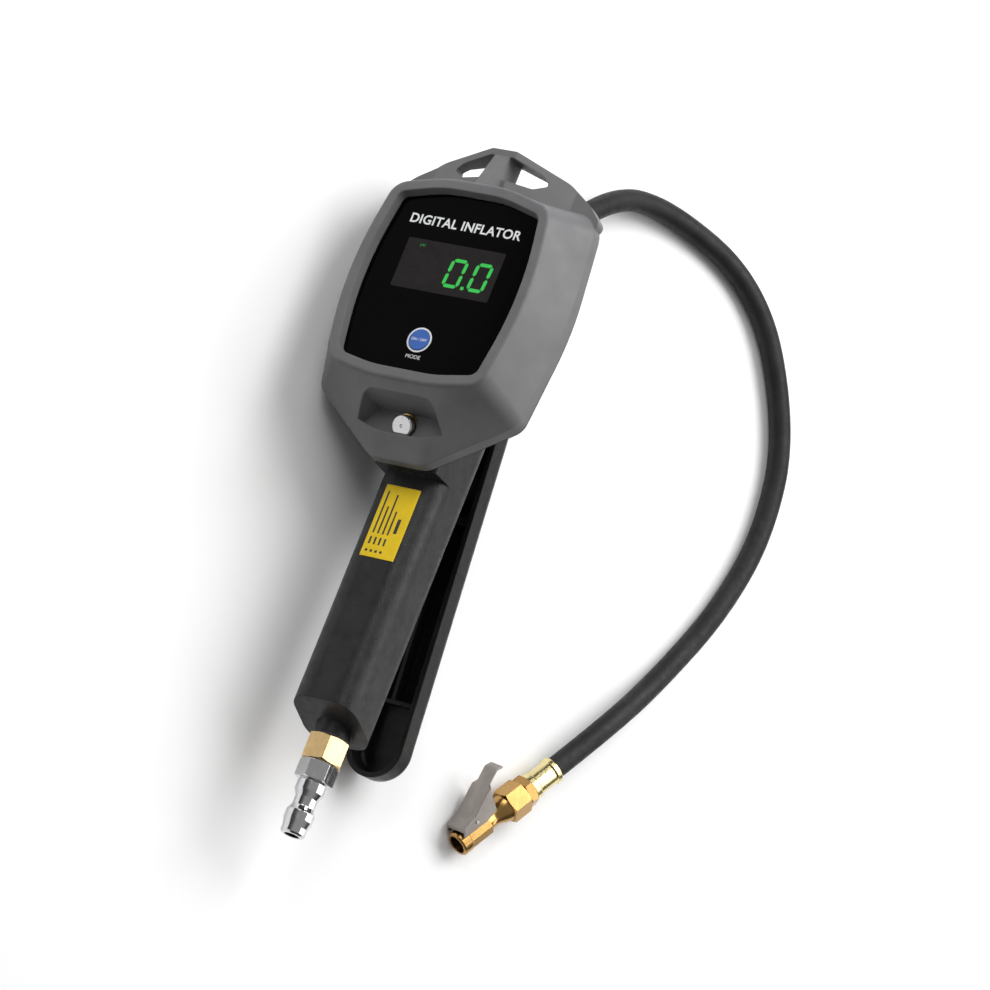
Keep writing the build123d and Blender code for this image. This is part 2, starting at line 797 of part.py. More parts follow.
with BuildPart() as label_plate:
    with BuildSketch(Plane.XZ.offset(-label_y - label_length / 2)):
        with Locations((0, -(grip_front + grip_rear) / 2)):
            skin = 2 * label_thickness
            RectangleRounded(
                2 * grip_half_width + skin, grip_depth + skin, grip_corner + label_thickness
            )
            RectangleRounded(2 * grip_half_width, grip_depth, grip_corner, mode=Mode.SUBTRACT)
        with Locations((0, -grip_front)):
            Rectangle(label_width, grip_corner, mode=Mode.INTERSECT)
    extrude(amount=label_length)
keep(label_plate, "label_plate")

# ---------------------------------------------------------------- air inlet
washer = 1.0
plug_start = washer + adapter_length
filter_face = -inlet_thread_length + inlet_filter_thickness
with BuildPart() as inlet_seal:
    ring(inlet_plane, 0, washer, inlet_boss_radius, inlet_thread_radius)
keep(inlet_seal, "inlet_seal")

plug_thread_radius = 5.0
plug_thread_length = 8.0
with BuildPart() as inlet_adapter:
    add(hexagon(inlet_plane, washer, plug_start, adapter_across_flats))
    rod(inlet_plane, filter_face, washer, inlet_thread_radius)
    rod(inlet_plane, -inlet_thread_length, plug_start, plug_bore, Mode.SUBTRACT)
    rod(inlet_plane, plug_start - plug_thread_length, plug_start, plug_thread_radius, Mode.SUBTRACT)
keep(inlet_adapter, "inlet_adapter")

with BuildPart() as inlet_filter:
    rod(inlet_plane, -inlet_thread_length, filter_face, inlet_thread_radius - 0.6)
keep(inlet_filter, "inlet_filter")

with BuildPart() as inlet_plug:
    hex_end = plug_start + plug_hex_length
    plug_end = plug_start + plug_length
    add(hexagon(inlet_plane, plug_start, hex_end, plug_across_flats, 30.0))
    turned(
        inlet_plane,
        [
            (0, plug_start - plug_thread_length + 0.5),
            (plug_thread_radius, plug_start - plug_thread_length + 0.5),
            (plug_thread_radius, hex_end),
            (plug_collar_radius - 0.6, hex_end),
            (plug_collar_radius, hex_end + 0.8),
            (plug_collar_radius, hex_end + 4.6),
            (plug_groove_radius, hex_end + 7.2),
            (plug_groove_radius, hex_end + 11.0),
            (plug_nose_radius - 0.5, hex_end + 12.6),
            (plug_nose_radius, hex_end + 13.4),
            (plug_nose_radius, hex_end + 16.6),
            (plug_tip_radius, hex_end + 19.6),
            (plug_tip_radius, plug_end - 0.8),
            (plug_tip_radius - 0.8, plug_end),
            (0, plug_end),
        ],
    )
    rod(inlet_plane, plug_start - plug_thread_length, plug_end, plug_bore, Mode.SUBTRACT)
keep(inlet_plug, "inlet_plug")

# ---------------------------------------------------------------- main valve
with BuildPart() as valve_seat:
    ring(valve_plane, seat_front, seat_front + seat_length, chamber_radius, seat_bore)
keep(valve_seat, "valve_seat")

with BuildPart() as stem_guide:
    add(hexagon(valve_plane, grip_rear, grip_rear + guide_flange, guide_across_flats))
    rod(valve_plane, guide_front, grip_rear, guide_radius)
    rod(valve_plane, guide_front, grip_rear + guide_flange, stem_radius + running_gap, Mode.SUBTRACT)
keep(stem_guide, "stem_guide")

poppet_seat = seat_front - running_gap
with BuildPart() as valve_stem:
    turned(
        valve_plane,
        [
            (0, poppet_seat - poppet_length - 1.0),
            (poppet_radius, poppet_seat - poppet_length - 1.0),
            (poppet_radius, poppet_seat - 1.0),
            (stem_radius, poppet_seat - 1.0),
            (stem_radius, stem_tip - 1.2),
            (stem_radius / 2, stem_tip),
            (0, stem_tip),
        ],
    )
keep(valve_stem, "valve_stem")

with BuildPart() as valve_seal:
    ring(valve_plane, poppet_seat - 1.0, poppet_seat, poppet_radius, stem_radius)
keep(valve_seal, "valve_seal")

with BuildPart() as valve_spring:
    spring_back = poppet_seat - poppet_length - 1.0
    add(coil(valve_plane, chamber_front, spring_back, poppet_radius - 0.8, 0.7, 3.5))
keep(valve_spring, "valve_spring")

# ---------------------------------------------------------------- squeeze lever
channel_front = lever_rear - lever_channel
web_inner = lever_rear - lever_web
lever_across = Axis(lever_plane.origin, lever_plane.z_dir)
lever_length = lever_reach + lever_top
stem_contact = lever_plane.to_local_coords(Vector(0, valve_y, -stem_tip))
pad_radius = 4.0
rib_thickness = 1.6
rib_front = -1.5
rib_places = (stem_contact.Y + 7.5, 123.5)


def lever_outline(plane, inset):
    """Long plate with a half-round tail, set in by an even margin."""
    with BuildSketch(plane) as sketch:
        with Locations((0, (lever_reach - lever_top) / 2 + inset / 2)):
            Rectangle(2 * (lever_half_width - inset), lever_length - inset)
        with Locations((0, lever_reach)):
            Circle(lever_half_width - inset)
    return sketch.sketch


with BuildPart() as lever_hollow:
    extrude(lever_outline(lever_plane.offset(channel_front), lever_wall), amount=lever_channel - lever_web)
    fillet(lever_hollow.faces().sort_by(lever_across)[-1].edges(), radius=lever_corner - lever_wall)

with BuildPart() as lever:
    extrude(lever_outline(lever_plane.offset(channel_front), 0), amount=lever_channel)
    fillet(lever.faces().sort_by(lever_across)[-1].edges(), radius=lever_corner)
    add(lever_hollow.part, mode=Mode.SUBTRACT)
    with BuildSketch(lever_plane.offset(rib_front)):
        with Locations((0, (rib_places[0] + rib_places[1]) / 2)):
            Rectangle(rib_thickness, rib_places[1] - rib_places[0])
        for rib_y in rib_places:
            with Locations((0, rib_y)):
                Rectangle(2 * (lever_half_width - lever_wall) + 1.0, rib_thickness)
    extrude(amount=web_inner - rib_front + 0.5)
    pad_plane = Plane(
        lever_plane.from_local_coords(Vector(0, stem_contact.Y, 0)),
        x_dir=lever_plane.x_dir,
        z_dir=lever_plane.z_dir,
    )
    rod(pad_plane, stem_contact.Z + stem_gap, web_inner + 0.5, pad_radius)
    rod(pin_plane, -lever_half_width - 1, lever_half_width + 1, lever_pin_radius, Mode.SUBTRACT)
    with BuildSketch(Plane.XY.offset(-grip_rear - fit_gap)):
        with Locations((0, pivot_y)):
            Rectangle(2 * (lever_half_width - lever_wall), 4 * lever_top)
    extrude(amount=10.0, mode=Mode.SUBTRACT)
keep(lever, "lever")

clip_gap = 0.1
clip_thickness = 0.7
pin_end = lever_half_width + clip_gap
with BuildPart() as lever_pin:
    rod(pin_plane, -pin_end, pin_end + clip_thickness + 0.8, lever_pin_radius)
    rod(pin_plane, -pin_end - 1.0, -pin_end, lever_pin_radius + 1.2)
keep(lever_pin, "lever_pin")

with BuildPart() as pin_clip:
    ring(pin_plane, pin_end, pin_end + clip_thickness, lever_pin_radius + 1.3, lever_pin_radius)
keep(pin_clip, "pin_clip")

spring_wire = 0.7
spring_radius = lever_pin_radius + 0.9
spring_start = lug_half_width + 0.4
spring_end = lever_half_width - lever_wall - 0.3
with BuildPart() as lever_spring:
    add(coil(pin_plane, spring_start, spring_end, spring_radius, spring_wire, 4.0))
keep(lever_spring, "lever_spring")

# ---------------------------------------------------------------- hose outlet
ferrule_end = outlet_hex_length + ferrule_length
with BuildPart() as outlet_fitting:
    add(hexagon(outlet_plane, 0, outlet_hex_length, outlet_across_flats))
    rod(outlet_plane, -outlet_thread_length, 0, outlet_thread_radius)
    rod(outlet_plane, 0, ferrule_end - 0.5, barb_radius)
    rod(outlet_plane, -outlet_thread_length, ferrule_end, 1.8, Mode.SUBTRACT)
keep(outlet_fitting, "outlet_fitting")


def ferrule_profile(start, end, radius):
    """Crimped ferrule: a bead at each end and a slimmer barrel between them."""
    bead = 2.2
    waist = radius - 0.6
    return [
        (barb_radius, start),
        (radius - 0.4, start),
        (radius, start + 0.4),
        (radius, start + bead),
        (waist, start + bead + 0.6),
        (waist, end - bead - 1.2),
        (radius, end - bead - 0.6),
        (radius, end - 0.4),
        (radius - 0.4, end),
        (barb_radius, end),
    ]


with BuildPart() as outlet_ferrule:
    turned(outlet_plane, ferrule_profile(outlet_hex_length, ferrule_end, ferrule_radius))
keep(outlet_ferrule, "outlet_ferrule")

# ---------------------------------------------------------------- clip-on chuck, along its own Z from the hose's end
hex_start = chuck_ferrule_length + nut_length
neck_start = hex_start + chuck_hex_length
nose_start = neck_start + chuck_neck_length
mouth = nose_start + chuck_nose_length
nut_thread_radius = 4.2
nut_thread_length = 6.0
with BuildPart() as chuck_ferrule:
    turned(Plane.XY, ferrule_profile(0, chuck_ferrule_length, chuck_ferrule_radius + 0.5))
keep(chuck_ferrule, "chuck_ferrule", on_cord=True)

with BuildPart() as chuck_nut:
    add(hexagon(Plane.XY, chuck_ferrule_length, hex_start, nut_across_flats, 15.0))
    rod(Plane.XY, 0.5, chuck_ferrule_length, barb_radius)
    rod(Plane.XY, hex_start, hex_start + nut_thread_length, nut_thread_radius)
    rod(Plane.XY, 0, hex_start + nut_thread_length, 1.8, Mode.SUBTRACT)
keep(chuck_nut, "chuck_nut", on_cord=True)

hook_back = 4.4
slot_half_width = 2.2
hex_corner = chuck_across_flats / 2 / cos(pi / 6)
with BuildPart() as chuck_body:
    add(hexagon(Plane.XY, hex_start, neck_start, chuck_across_flats, 30.0))
    with BuildSketch(Plane.XZ):
        with BuildLine():
            Polyline((0, nose_start), (0, neck_start - 2.0), (hex_corner - 1.6, neck_start - 2.0))
            Spline(
                (hex_corner - 1.6, neck_start - 2.0),
                (chuck_neck_radius, (neck_start + nose_start) / 2 + 2.0),
                (chuck_neck_radius + 0.7, nose_start),
                tangents=[(0, 1), (0.35, 1)],
            )
            Line((chuck_neck_radius + 0.7, nose_start), (0, nose_start))
        make_face()
    revolve(axis=Axis.Z)
    with BuildSketch(Plane.XY.offset(nose_start)):
        RegularPolygon(chuck_nose_across_flats / 2, 8, major_radius=False)
    extrude(amount=chuck_nose_length - 4.0)
    turned(
        Plane.XY,
        [
            (0, mouth - 5.2),
            (chuck_nose_across_flats / 2, mouth - 5.2),
            (chuck_mouth_radius, mouth - 4.4),
            (chuck_mouth_radius, mouth - 0.6),
            (chuck_mouth_radius - 0.5, mouth),
            (0, mouth),
        ],
    )
    rod(Plane.XY, mouth - chuck_bore_depth, mouth, chuck_bore, Mode.SUBTRACT)
    seal_top = mouth - chuck_bore_depth
    rod(Plane.XY, seal_top - chuck_seal_length, seal_top, chuck_seal_radius, Mode.SUBTRACT)
    rod(Plane.XY, hex_start, mouth, 1.8, Mode.SUBTRACT)
    rod(Plane.XY, hex_start, hex_start + nut_thread_length, nut_thread_radius, Mode.SUBTRACT)
    with BuildSketch(Plane.XY.offset(mouth - hook_back)):
        with Locations((chuck_bore + 1.0, 0)):
            Rectangle(2.8, 2 * slot_half_width)
    extrude(amount=hook_back - 1.2, mode=Mode.SUBTRACT)
    with BuildSketch(Plane.XZ):
        with BuildLine():
            Polyline(
                (chuck_seal_radius + 0.1, mouth - clip_pin_back - 2.2),
                (clip_pin_x, mouth - clip_pin_back - 2.0),
                (clip_pin_x + 1.2, mouth - clip_pin_back),
                (clip_pin_x, mouth - clip_pin_back + 2.0),
                (chuck_seal_radius + 0.1, mouth - clip_pin_back + 2.2),
                close=True,
            )
        make_face()
    extrude(amount=slot_half_width + 1.0, both=True)
    clip_pin_plane = Plane((clip_pin_x, 0, mouth - clip_pin_back), x_dir=(1, 0, 0), z_dir=(0, -1, 0))
    rod(clip_pin_plane, -6.0, 6.0, clip_pin_radius + running_gap, Mode.SUBTRACT)
keep(chuck_body, "chuck_body", on_cord=True)

with BuildPart() as chuck_seal:
    seal_base = seal_top - chuck_seal_length
    ring(Plane.XY, seal_base, seal_top, chuck_seal_radius, 1.6)
keep(chuck_seal, "chuck_seal", on_cord=True)

with BuildPart() as depressor_pin:
    rod(Plane.XY, seal_base - 4.0, seal_top, 0.8)
    with BuildSketch(Plane.XY.offset(seal_base - 4.0)):
        Rectangle(3.5, 0.8)
        Rectangle(0.8, 3.5)
    extrude(amount=2.0)
keep(depressor_pin, "depressor_pin", on_cord=True)

with BuildPart() as chuck_clip:
    pin_z = mouth - clip_pin_back
    back = sin(radians(clip_angle))
    along = cos(radians(clip_angle))
    plate_x = clip_pin_x + 2.2
    tab_tip = (plate_x + clip_tab_length * back, pin_z - clip_tab_length * along)
    tab_base = (plate_x, pin_z)
    hook_z = mouth - 2.8
    with BuildSketch(Plane.XZ):
        with BuildLine() as sheet_line:
            FilletPolyline(
                (chuck_bore + 0.5, hook_z),
                (plate_x - 1.6, hook_z),
                tab_base,
                tab_tip,
                (tab_tip[0] - 0.6, tab_tip[1] - 3.0),
                radius=[0.8, 3.0, 2.0],
            )
        trace(sheet_line.line, line_width=clip_wall)
    extrude(amount=clip_half_width, both=True)
    with BuildSketch(Plane.XZ):
        with BuildLine():
            Polyline(
                (chuck_bore + 0.2, mouth - 1.6),
                (plate_x - 2.0, mouth - 2.4),
                tab_base,
                (plate_x + clip_cheek_length * back, pin_z - clip_cheek_length * along),
                (clip_pin_x - 1.2, pin_z - 10.5),
                (clip_pin_x - 2.6, pin_z - 4.0),
                close=True,
            )
        make_face()
    extrude(amount=clip_half_width, both=True)
    inside = clip_half_width - clip_wall
    with BuildSketch(Plane.XZ):
        with BuildLine():
            Polyline(
                (0, mouth + 2.0),
                (chuck_bore + 0.1, mouth + 2.0),
                (plate_x - 2.2, hook_z - 1.0),
                (plate_x - 0.5, pin_z),
                (plate_x - 0.5 + clip_tab_length * back, pin_z - clip_tab_length * along),
                (0, pin_z - clip_tab_length * along),
                close=True,
            )
        make_face()
    extrude(amount=inside, both=True, mode=Mode.SUBTRACT)
    tab_plane = Plane((plate_x, 0, pin_z), x_dir=(0, 1, 0), z_dir=(-along, 0, -back))
    with BuildSketch(tab_plane):
        for side in (-1, 1):
            with BuildLine():
                Polyline(
                    (side * clip_tab_half_width, clip_cheek_length + 2.0),
                    (side * clip_half_width, clip_cheek_length),
                    (side * (clip_half_width + 1.0), clip_cheek_length),
                    (side * (clip_half_width + 1.0), clip_tab_length + 5.0),
                    (side * clip_tab_half_width, clip_tab_length + 5.0),
                    close=True,
                )
            make_face()
    extrude(amount=5.0, both=True, mode=Mode.SUBTRACT)
    rod(clip_pin_plane, -clip_half_width, clip_half_width, clip_pin_radius, Mode.SUBTRACT)
keep(chuck_clip, "chuck_clip", on_cord=True)

with BuildPart() as clip_pin:
    rod(clip_pin_plane, -clip_half_width - 0.3, clip_half_width + 0.3, clip_pin_radius)
keep(clip_pin, "clip_pin", on_cord=True)

with BuildPart() as clip_spring:
    add(coil(clip_pin_plane, slot_half_width + 1.2, clip_half_width - clip_wall - 0.2, 1.3, 0.4, 3))
keep(clip_spring, "clip_spring", on_cord=True)

# ---------------------------------------------------------------- laid on its left side
def lowest(shape, roll):
    """Height of a shape's lowest point once it is rolled about Y."""
    return shape.rotate(Axis.Y, -roll).bounding_box().min.Z


# The boot's left rim and the lever's tail touch the floor together.
contact_span = hypot(rim_half_width - lever_half_width, pivot_depth)
rest_roll = degrees(atan2(pivot_depth, rim_half_width - lever_half_width))
for _ in range(4):
    lift = lowest(lever.part, rest_roll) - lowest(boot_cover.part, rest_roll)
    rest_roll -= degrees(atan2(lift, contact_span))
laid_boxes = [piece.rotate(Axis.Y, -rest_roll).bounding_box() for piece in pieces]
low_x = min(box.min.X for box in laid_boxes)
high_x = max(box.max.X for box in laid_boxes)
low_y = min(box.min.Y for box in laid_boxes)
high_y = max(box.max.Y for box in laid_boxes)
low_z = min(box.min.Z for box in laid_boxes)
rest = Location((-(low_x + high_x) / 2, -(low_y + high_y) / 2, -low_z), (0, -rest_roll, 0))
print(f"rest roll {rest_roll:.4f} degrees, shift {rest.position}")

# The chuck lies on its hexagon and nose, clip side toward the gauge.
chuck_axis = Vector(1, 0, 0).rotate(Axis.Y, chuck_tilt).rotate(Axis.Z, chuck_heading)
clip_side = Vector(0, -1, 0).rotate(Axis.Z, chuck_heading)
chuck_base = Vector(*chuck_mouth_place, 0) - chuck_axis * mouth
chuck_plane = Plane(chuck_base, x_dir=clip_side, z_dir=chuck_axis)
chuck_turned = chuck_plane.location * Location((0, 0, 0), (0, 0, chuck_roll))
chuck_low = min(piece.moved(chuck_turned).bounding_box().min.Z for piece in cord_pieces)
chuck_place = Location((0, 0, -chuck_low)) * chuck_turned
print(f"chuck place {chuck_place}")

# ---------------------------------------------------------------- hose, lying in a loop on the floor
hose_start = rest * (outlet_plane.location * Location((0, 0, ferrule_end)))
hose_leave = (rest * outlet_plane.location).z_axis.direction
hose_end = chuck_place.position
hose_arrive = chuck_place.z_axis.direction
hose_points = [hose_start.position, hose_start.position + hose_leave * hose_first_run]
hose_points += [Vector(x, y, hose_radius) for x, y in hose_floor_points]
hose_points += [hose_end - hose_arrive * hose_last_run, hose_end]
hose_radii = []
for before, corner, after in zip(hose_points, hose_points[1:], hose_points[2:]):
    half_turn = radians((corner - before).get_angle(after - corner)) / 2
    shorter_run = min((corner - before).length, (after - corner).length)
    hose_radii.append(0.45 * shorter_run / tan(half_turn))
with BuildPart() as hose:
    with BuildLine() as hose_route:
        FilletPolyline(*hose_points, radius=hose_radii)
    with BuildSketch(Plane(hose_points[0], z_dir=hose_leave)) as hose_section:
        Circle(hose_radius)
        Circle(hose_bore, mode=Mode.SUBTRACT)
    sweep(path=hose_route.line)
hose.part.label = "hose"
hose_length = sum(edge.length for edge in hose_route.line.edges())
print("hose radii", [round(radius, 1) for radius in hose_radii])
print("hose length", round(hose_length, 1), "volume", round(hose.part.volume, 1))
print("hose section x length", round(hose_section.sketch.area * hose_length, 1))
print("hose points", [tuple(round(value, 3) for value in point) for point in hose_points])

placed = [hose.part]
for piece in pieces:
    label = piece.label
    placed.append(piece.moved(rest))
    placed[-1].label = label
for piece in cord_pieces:
    label = piece.label
    placed.append(piece.moved(chuck_place))
    placed[-1].label = label
for piece in placed:
    export_step(piece, f"parts/{piece.label}.step")
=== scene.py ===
import bpy
import json
from math import cos, pi, radians, sin
from mathutils import Matrix, Vector


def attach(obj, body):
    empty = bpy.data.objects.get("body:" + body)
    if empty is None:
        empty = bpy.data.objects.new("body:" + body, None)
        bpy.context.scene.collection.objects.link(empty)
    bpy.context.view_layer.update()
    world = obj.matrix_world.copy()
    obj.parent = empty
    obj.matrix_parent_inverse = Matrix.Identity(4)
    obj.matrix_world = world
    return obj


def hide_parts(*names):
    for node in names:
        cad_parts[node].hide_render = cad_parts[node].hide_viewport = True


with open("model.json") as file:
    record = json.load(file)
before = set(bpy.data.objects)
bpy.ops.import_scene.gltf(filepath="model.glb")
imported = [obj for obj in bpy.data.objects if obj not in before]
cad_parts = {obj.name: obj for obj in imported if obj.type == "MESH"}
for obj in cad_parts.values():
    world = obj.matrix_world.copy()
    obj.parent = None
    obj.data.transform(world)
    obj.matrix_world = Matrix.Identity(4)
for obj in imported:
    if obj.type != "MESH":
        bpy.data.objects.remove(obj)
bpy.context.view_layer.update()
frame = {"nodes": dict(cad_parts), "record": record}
nodes = frame["nodes"]
scene = bpy.context.scene

# ------------------------------------------------------------ the tool's own axes
# X to the right of the display, Y up towards the hanger, Z out of the glass.
# The tool lies on its left side.
ROLL = radians(61.3298)
SHIFT = Vector((-0.03228952, 0.0848, 0.05505275))
TOOL = Matrix.Translation(SHIFT) @ Matrix.Rotation(-ROLL, 4, "Y")


def tool(x, y, z):
    """A point in the tool's own axes, in millimetres, as a point of the frame in metres."""
    return TOOL @ Vector((x / 1000, y / 1000, z / 1000))


# ------------------------------------------------------------ camera
RIGHT = Vector((0.7504, 0.3528, 0.5590)).normalized()
BACK = Vector((-0.4826, -0.2857, 0.8281))
BACK = (BACK - RIGHT * BACK.dot(RIGHT)).normalized()
UP = BACK.cross(RIGHT)
DISTANCE = 2.0
VIEW_WIDTH = 0.396
AIM_RIGHT = 0.01868
AIM_DOWN = 0.08962
AIM_DEEPER = 0.012
SENSOR = 36.0
target = SHIFT + RIGHT * AIM_RIGHT - UP * AIM_DOWN - BACK * AIM_DEEPER
cam_data = bpy.data.cameras.new("camera")
cam_data.sensor_width = SENSOR
cam_data.lens = SENSOR * DISTANCE / VIEW_WIDTH
cam_data.clip_start = 0.05
camera = bpy.data.objects.new("camera", cam_data)
axes = Matrix((RIGHT, UP, BACK)).transposed().to_4x4()
camera.matrix_world = Matrix.Translation(target + BACK * DISTANCE) @ axes
scene.collection.objects.link(camera)
scene.camera = camera

# ------------------------------------------------------------ materials
# Noise runs between these two values over most of a surface.
RAMP_LOW = 0.35
RAMP_HIGH = 0.65


class Paint:
    """A Principled material built up node by node."""

    def __init__(self, name, color, rough, metal=0.0, specular=0.5):
        self.material = bpy.data.materials.new(name)
        self.material.use_nodes = True
        self.material.diffuse_color = (*color, 1.0)
        self.tree = self.material.node_tree
        self.shader = self.tree.nodes["Principled BSDF"]
        self.set("Base Color", (*color, 1.0))
        self.set("Roughness", rough)
        self.set("Metallic", metal)
        self.set("Specular IOR Level", specular)
        self.color = color
        self.place = self.node("ShaderNodeTexCoord").outputs["Object"]
        self.height = None

    def set(self, socket, value):
        self.shader.inputs[socket].default_value = value
        return self

    def node(self, kind, **values):
        made = self.tree.nodes.new(kind)
        for key, value in values.items():
            setattr(made, key, value)
        return made

    def link(self, source, sink):
        self.tree.links.new(source, sink)

    def stretched(self, scale):
        mapping = self.node("ShaderNodeMapping")
        mapping.inputs["Scale"].default_value = scale
        self.link(self.place, mapping.inputs["Vector"])
        return mapping.outputs["Vector"]

    def noise(self, scale, detail=4.0, rough=0.55, stretch=None):
        noise = self.node("ShaderNodeTexNoise")
        noise.inputs["Scale"].default_value = scale
        noise.inputs["Detail"].default_value = detail
        noise.inputs["Roughness"].default_value = rough
        self.link(self.stretched(stretch) if stretch else self.place, noise.inputs["Vector"])
        return noise.outputs["Fac"]

    def cells(self, scale):
        cells = self.node("ShaderNodeTexVoronoi")
        cells.inputs["Scale"].default_value = scale
        self.link(self.place, cells.inputs["Vector"])
        return cells.outputs["Distance"]

    def ramp(self, fac, stops):
        ramp = self.node("ShaderNodeValToRGB")
        while len(ramp.color_ramp.elements) < len(stops):
            ramp.color_ramp.elements.new(0.5)
        for element, (at, value) in zip(ramp.color_ramp.elements, stops):
            element.position = at
            element.color = (*value, 1.0)
        self.link(fac, ramp.inputs["Fac"])
        return ramp.outputs["Color"]

    def mottle(self, fac, spread):
        """Base colour wanders about its middle."""
        dark = tuple(c * (1 - spread) for c in self.color)
        light = tuple(min(1.0, c * (1 + spread)) for c in self.color)
        stops = [(RAMP_LOW, dark), (RAMP_HIGH, light)]
        self.link(self.ramp(fac, stops), self.shader.inputs["Base Color"])
        return self

    def sheen_marks(self, fac, low, high):
        """Roughness wanders between two values."""
        grey = [(RAMP_LOW, (low,) * 3), (RAMP_HIGH, (high,) * 3)]
        self.link(self.ramp(fac, grey), self.shader.inputs["Roughness"])
        return self

    def bump(self, fac, depth, strength=1.0):
        """Raises the surface by depth in metres."""
        bump = self.node("ShaderNodeBump")
        bump.inputs["Strength"].default_value = strength
        bump.inputs["Distance"].default_value = depth
        self.link(fac, bump.inputs["Height"])
        if self.height is not None:
            self.link(self.height, bump.inputs["Normal"])
        self.height = bump.outputs["Normal"]
        self.link(self.height, self.shader.inputs["Normal"])
        return self

    def round_edges(self, radius):
        """Softens the shading across sharp edges by a small radius in metres."""
        bevel = self.node("ShaderNodeBevel", samples=4)
        bevel.inputs["Radius"].default_value = radius
        self.height = bevel.outputs["Normal"]
        self.link(self.height, self.shader.inputs["Normal"])
        return self


def boot_rubber():
    paint = Paint("boot_rubber", (0.140, 0.140, 0.144), 0.46, specular=0.30).round_edges(0.0009)
    paint.mottle(paint.noise(60, 5), 0.06)
    paint.sheen_marks(paint.noise(90, 4), 0.40, 0.56)
    paint.bump(paint.noise(2600, 2), 0.00002, 0.6)
    paint.bump(paint.noise(35, 2), 0.00012, 0.5)
    return paint.material


def grained(name, color, rough, grain=1500, depth=0.00009, radius=0.0006, spread=0.25):
    paint = Paint(name, color, rough, specular=0.26).round_edges(radius)
    paint.mottle(paint.noise(120, 5), spread)
    paint.sheen_marks(paint.noise(300, 3), rough - 0.08, rough + 0.10)
    paint.bump(paint.cells(grain), depth, 0.7)
    paint.bump(paint.noise(grain * 2.2, 2), depth * 0.4, 0.5)
    return paint.material


def smooth(name, color, rough, radius=0.0004, spread=0.10, coat=0.0, specular=0.5):
    paint = Paint(name, color, rough, specular=specular).round_edges(radius)
    paint.mottle(paint.noise(150, 4), spread)
    paint.sheen_marks(paint.noise(240, 4), max(0.03, rough - 0.06), rough + 0.07)
    paint.bump(paint.noise(800, 3), 0.000004, 0.4)
    if coat:
        paint.set("Coat Weight", coat)
        paint.set("Coat Roughness", 0.12)
    return paint.material


def metal(name, color, rough, spread=0.12, radius=0.00035, scratch=900):
    paint = Paint(name, color, rough, metal=1.0).round_edges(radius)
    paint.mottle(paint.noise(140, 6), spread)
    lines = paint.noise(scratch, 4, 0.6, stretch=(1.0, 0.22, 1.0))
    paint.sheen_marks(lines, max(0.04, rough - 0.05), rough + 0.06)
    paint.bump(lines, 0.000002, 0.2)
    return paint.material


def hose_rubber():
    paint = Paint("hose_rubber", (0.014, 0.014, 0.0145), 0.50, specular=0.24)
    paint.mottle(paint.noise(90, 5), 0.30)
    paint.sheen_marks(paint.noise(420, 3), 0.44, 0.62)
    paint.bump(paint.noise(1800, 3), 0.00003, 0.6)
    paint.bump(paint.noise(140, 2), 0.00008, 0.4)
    return paint.material


def lit(name, color, strength):
    paint = Paint(name, color, 0.4)
    paint.set("Emission Color", (*color, 1.0))
    paint.set("Emission Strength", strength)
    paint.mottle(paint.noise(400, 2), 0.05)
    return paint.material


def glass_front():
    paint = Paint("glass_front", (0.0012, 0.0011, 0.0012), 0.07, specular=0.03)
    paint.sheen_marks(paint.noise(70, 4), 0.05, 0.09)
    paint.mottle(paint.noise(50, 3), 0.15)
    return paint.material


MATERIALS = {
    "boot": boot_rubber(),
    "case_black": grained("case_plastic", (0.026, 0.026, 0.028), 0.48, 1900, 0.00004),
    "glass": glass_front(),
    "lcd": smooth("lcd_window", (0.022, 0.0195, 0.0195), 0.25, specular=0.05),
    "board": smooth("board_mask", (0.02, 0.12, 0.05), 0.35, coat=0.3),
    "chip": smooth("chip_resin", (0.02, 0.02, 0.02), 0.5),
    "button_blue": smooth("button_blue", (0.022, 0.105, 0.42), 0.38, 0.0008, coat=0.15),
    "print_white": smooth("print_white", (0.78, 0.79, 0.80), 0.42, 0.00005, 0.03),
    "lcd_green": lit("lcd_green", (0.018, 0.44, 0.055), 0.32),
    "grip_black": grained("grip_plastic", (0.018, 0.018, 0.0185), 0.38, 1500, 0.00008, 0.0007),
    "lever_black": grained("lever_coat", (0.010, 0.010, 0.0105), 0.36, 1300, 0.00005, 0.0007),
    "label_yellow": smooth("label_film", (0.82, 0.57, 0.018), 0.38, 0.0001, 0.04, specular=0.2),
    "label_ink": smooth("label_ink", (0.025, 0.025, 0.025), 0.40, 0.00003),
    "chrome": metal("chrome_plate", (0.66, 0.66, 0.67), 0.10, 0.03),
    "steel": metal("plain_steel", (0.46, 0.45, 0.43), 0.30),
    "clip_steel": metal("clip_sheet", (0.27, 0.245, 0.225), 0.32, 0.08, scratch=700),
    "screw_black": metal("screw_oxide", (0.075, 0.075, 0.08), 0.36),
    "brass": metal("turned_brass", (0.74, 0.52, 0.25), 0.22, 0.06),
    "bronze": metal("chuck_bronze", (0.45, 0.265, 0.088), 0.24, 0.07),
    "gold": metal("ferrule_plate", (0.80, 0.68, 0.34), 0.20, 0.06),
    "hose": hose_rubber(),
    "seal": smooth("seal_rubber", (0.02, 0.02, 0.02), 0.55, 0.0002),
    "cell": smooth("cell_sleeve", (0.07, 0.17, 0.10), 0.35),
    "spring": metal("spring_wire", (0.44, 0.43, 0.41), 0.28, radius=0.0001),
}

for part in frame["record"]["subparts"]:
    mesh = nodes[part["node"]].data
    mesh.materials.clear()
    mesh.materials.append(MATERIALS[part["material_slot"]])


def dress(piece, slot, body="inflator"):
    """Gives a piece its finish and the body it rides on."""
    piece.data.materials.clear()
    piece.data.materials.append(MATERIALS[slot])
    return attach(piece, body)


